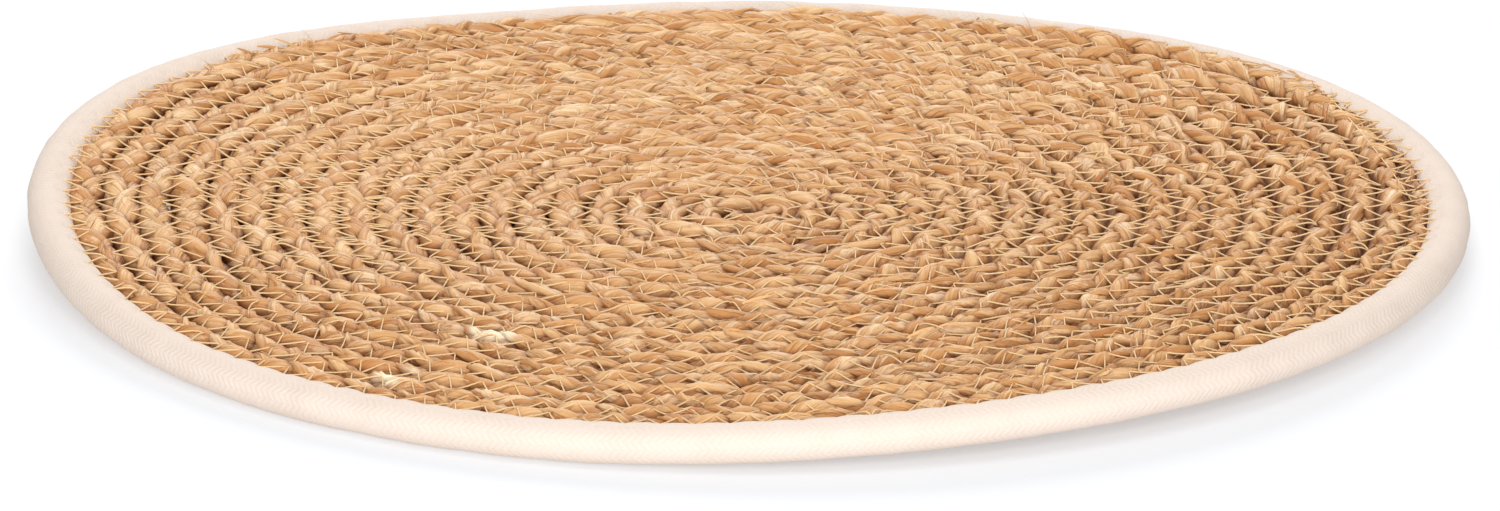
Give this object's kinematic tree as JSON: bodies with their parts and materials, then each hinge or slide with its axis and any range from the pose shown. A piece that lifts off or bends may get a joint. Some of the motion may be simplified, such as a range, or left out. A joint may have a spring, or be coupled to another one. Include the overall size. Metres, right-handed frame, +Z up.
{
  "type": "round braided esparto placemat",
  "caption": "Round table mat: one braid of dried grass wound into a flat spiral, its turns sewn together with a zigzag, and a thick white cotton cord sewn round its rim.",
  "frame": {"origin": "on the surface that the mat lies on, under the middle of the mat", "axes": "+Z up, through the middle of the spiral; +X to the right and +Y to the back as the picture shows it"},
  "size_m": [0.38, 0.38, 0.0204],
  "materials": {
    "dried_grass_braid": "dry, slightly glossy grass leaves in straw and tan, with a zigzag of cream sewing thread",
    "cotton_cord": "matt off-white cotton, round braided"
  },
  "bodies": {
    "root": {"braid_coil": "dried_grass_braid", "edge_cord": "cotton_cord"}
  },
  "joints": []
}
